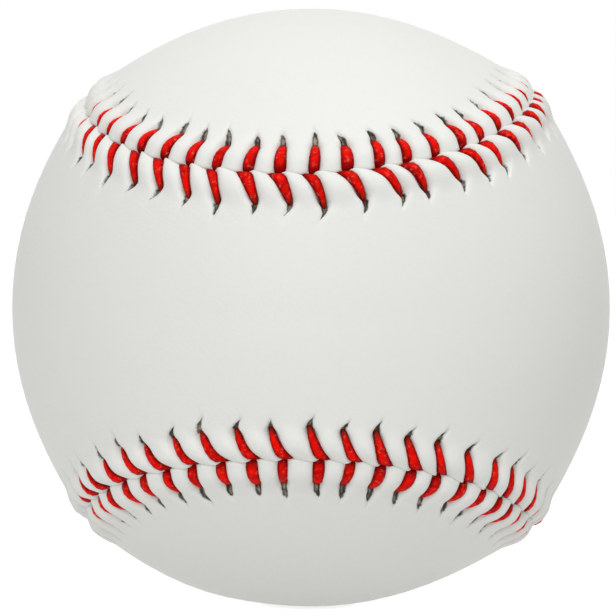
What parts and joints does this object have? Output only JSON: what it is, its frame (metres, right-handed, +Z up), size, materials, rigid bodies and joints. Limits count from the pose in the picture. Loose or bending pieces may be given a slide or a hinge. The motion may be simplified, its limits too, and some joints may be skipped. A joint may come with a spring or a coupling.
{
  "type": "baseball",
  "caption": "Hand-stitched baseball: two white figure-of-eight cover panels laced with red V stitches round a yarn-wound sponge core.",
  "frame": {"origin": "centre of the ball", "axes": "+Z up, -Y toward the waist of the front panel, which the picture shows, +X to the right of it"},
  "size_m": [0.0728, 0.0732, 0.0728],
  "materials": {
    "cover": "white synthetic leather, satin matt with a very fine grain",
    "thread": "bright red twisted thread, matt",
    "yarn": "grey-white wound yarn, matt",
    "sponge": "brown-grey sponge rubber, matt"
  },
  "bodies": {
    "root": {"sponge_core": "sponge", "yarn_winding": "yarn", "front_cover_panel": "cover", "back_cover_panel": "cover", "stitching_thread": "thread"}
  },
  "joints": []
}
